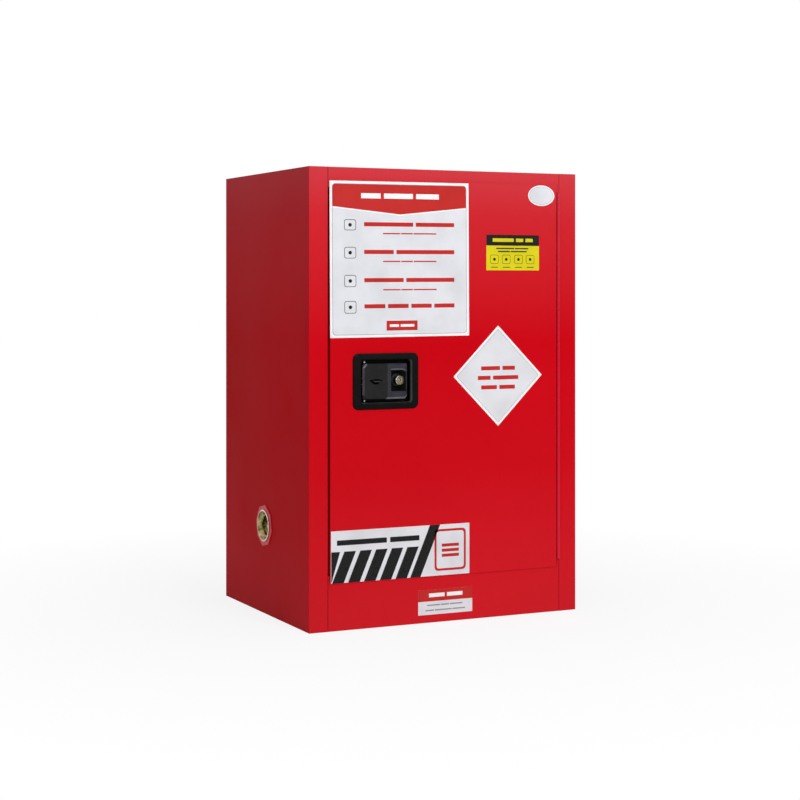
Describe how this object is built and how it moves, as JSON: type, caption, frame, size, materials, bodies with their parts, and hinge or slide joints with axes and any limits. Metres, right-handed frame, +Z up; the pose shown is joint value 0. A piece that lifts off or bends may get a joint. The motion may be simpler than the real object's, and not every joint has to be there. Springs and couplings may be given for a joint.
{
  "type": "flammable safety cabinet",
  "caption": "Red double-wall steel safety cabinet with a right-hung door, recessed paddle handle with bolt and rods, shelf, sump pan, plugged side vents and levelling feet.",
  "frame": {"origin": "floor point under the middle of the whole extent, from the padlock eye to the back", "axes": "+X to the right of someone who faces the door, +Y back, +Z up"},
  "size_m": [0.5986, 0.4712, 0.89],
  "materials": {
    "red_paint": "satin red powder coat with slight orange peel",
    "vent_paint": "red paint, a little lighter than the shell's",
    "zinc": "bright zinc-plated steel",
    "passivated": "yellow-passivated zinc plating",
    "black_moulding": "fine-grained black moulding",
    "rubber_ring": "black rubber",
    "brass": "plain brass",
    "spring_wire": "bare spring steel",
    "lock_metal": "nickel-plated lock"
  },
  "bodies": {
    "cabinet": {"left_side_panel": "red_paint", "right_side_panel": "red_paint", "top_panel": "red_paint", "back_panel": "red_paint", "base_panel": "red_paint", "sill_panel": "red_paint", "left_liner": "red_paint", "right_liner": "red_paint", "back_liner": "red_paint", "ceiling_liner": "red_paint", "sump_pan": "red_paint", "strike_plate": "zinc", "upper_keeper": "brass", "lower_keeper": "brass", "ground_bolt": "zinc", "hinge_frame_leaf": "red_paint", "hinge_pin": "zinc", "left_vent_flange": "vent_paint", "left_vent_arrester": "zinc", "right_vent_flange": "vent_paint", "right_vent_arrester": "zinc", "shelf_standard_left_front": "zinc", "shelf_standard_left_rear": "zinc", "shelf_standard_right_front": "zinc", "shelf_standard_right_rear": "zinc", "shelf_clip_left_front": "zinc", "shelf_clip_left_rear": "zinc", "shelf_clip_right_front": "zinc", "shelf_clip_right_rear": "zinc"},
    "door": {"door_skin": "red_paint", "door_inner_panel": "red_paint", "door_stiffener_middle": "zinc", "door_stiffener_hinge_side": "zinc", "latch_cover": "red_paint", "upper_rod_guide": "zinc", "lower_rod_guide": "zinc", "hinge_door_leaf": "red_paint", "handle_dish": "black_moulding", "paddle_pin": "zinc", "paddle_spring": "spring_wire", "padlock_eye": "zinc", "lock_body": "lock_metal", "latch_base": "zinc"},
    "paddle": {"paddle": "black_moulding"},
    "latch_slide": {"latch_slide": "zinc"},
    "upper_rod": {"upper_rod": "zinc"},
    "lower_rod": {"lower_rod": "zinc", "rod_spring": "spring_wire"},
    "lock": {"lock_plug": "lock_metal", "lock_cam": "zinc"},
    "shelf": {"shelf": "zinc"},
    "left_gasket": {"left_vent_gasket": "rubber_ring"},
    "left_plug": {"left_vent_plug": "passivated"},
    "right_gasket": {"right_vent_gasket": "rubber_ring"},
    "right_plug": {"right_vent_plug": "passivated"},
    "foot_front_left": {"levelling_foot_front_left": "zinc"},
    "foot_front_right": {"levelling_foot_front_right": "zinc"},
    "foot_rear_left": {"levelling_foot_rear_left": "zinc"},
    "foot_rear_right": {"levelling_foot_rear_right": "zinc"}
  },
  "joints": [
    {"name": "door_swing", "type": "hinge", "parent": "cabinet", "child": "door", "pos_m": [0.2525, -0.2277, 0.4785], "axis": [0, 0, 1], "range_deg": [0, 180]},
    {"name": "paddle_pull", "type": "hinge", "parent": "door", "child": "paddle", "pos_m": [-0.178, -0.2206, 0.477], "axis": [0, 0, -1], "range_deg": [0, 30]},
    {"name": "latch_draw", "type": "slide", "parent": "door", "child": "latch_slide", "axis": [1, 0, 0], "range_m": [0, 0.01102], "stiffness_N_per_m": 800, "springref_m": -0.008},
    {"name": "upper_rod_draw", "type": "slide", "parent": "door", "child": "upper_rod", "axis": [0, 0, -1], "range_m": [0, 0.0112]},
    {"name": "lower_rod_draw", "type": "slide", "parent": "door", "child": "lower_rod", "axis": [0, 0, 1], "range_m": [0, 0.0112], "deforming": ["rod_spring"]},
    {"name": "lock_turn", "type": "hinge", "parent": "door", "child": "lock", "pos_m": [-0.102, -0.2156, 0.478], "axis": [0, -1, 0], "range_deg": [-90, 0]},
    {"name": "shelf_lift", "type": "slide", "parent": "cabinet", "child": "shelf", "axis": [0, 0, 1], "range_m": [0, 0.05]},
    {"name": "left_gasket_slide", "type": "slide", "parent": "cabinet", "child": "left_gasket", "axis": [-1, 0, 0], "range_m": [0, 0.0116]},
    {"name": "left_plug_unscrew", "type": "hinge", "parent": "left_gasket", "child": "left_plug", "pos_m": [-0.29, 0.0076, 0.178], "axis": [-1, 0, 0], "range_deg": [0, 1800]},
    {"name": "right_gasket_slide", "type": "slide", "parent": "cabinet", "child": "right_gasket", "axis": [1, 0, 0], "range_m": [0, 0.0116]},
    {"name": "right_plug_unscrew", "type": "hinge", "parent": "right_gasket", "child": "right_plug", "pos_m": [0.29, 0.0076, 0.762], "axis": [1, 0, 0], "range_deg": [0, 1800]},
    {"name": "foot_front_left_drop", "type": "slide", "parent": "cabinet", "child": "foot_front_left", "axis": [0, 0, -1], "range_m": [0, 0.02]},
    {"name": "foot_front_right_drop", "type": "slide", "parent": "cabinet", "child": "foot_front_right", "axis": [0, 0, -1], "range_m": [0, 0.02]},
    {"name": "foot_rear_left_drop", "type": "slide", "parent": "cabinet", "child": "foot_rear_left", "axis": [0, 0, -1], "range_m": [0, 0.02]},
    {"name": "foot_rear_right_drop", "type": "slide", "parent": "cabinet", "child": "foot_rear_right", "axis": [0, 0, -1], "range_m": [0, 0.02]}
  ],
  "couplings": [
    {"joint": "paddle_pull", "follows": "latch_draw", "rad_per_m": 47.482},
    {"joint": "upper_rod_draw", "follows": "latch_draw", "ratio": 1},
    {"joint": "lower_rod_draw", "follows": "latch_draw", "ratio": 1},
    {"joint": "left_gasket_slide", "follows": "left_plug_unscrew", "m_per_rad": 0.0003661},
    {"joint": "right_gasket_slide", "follows": "right_plug_unscrew", "m_per_rad": 0.0003661}
  ]
}
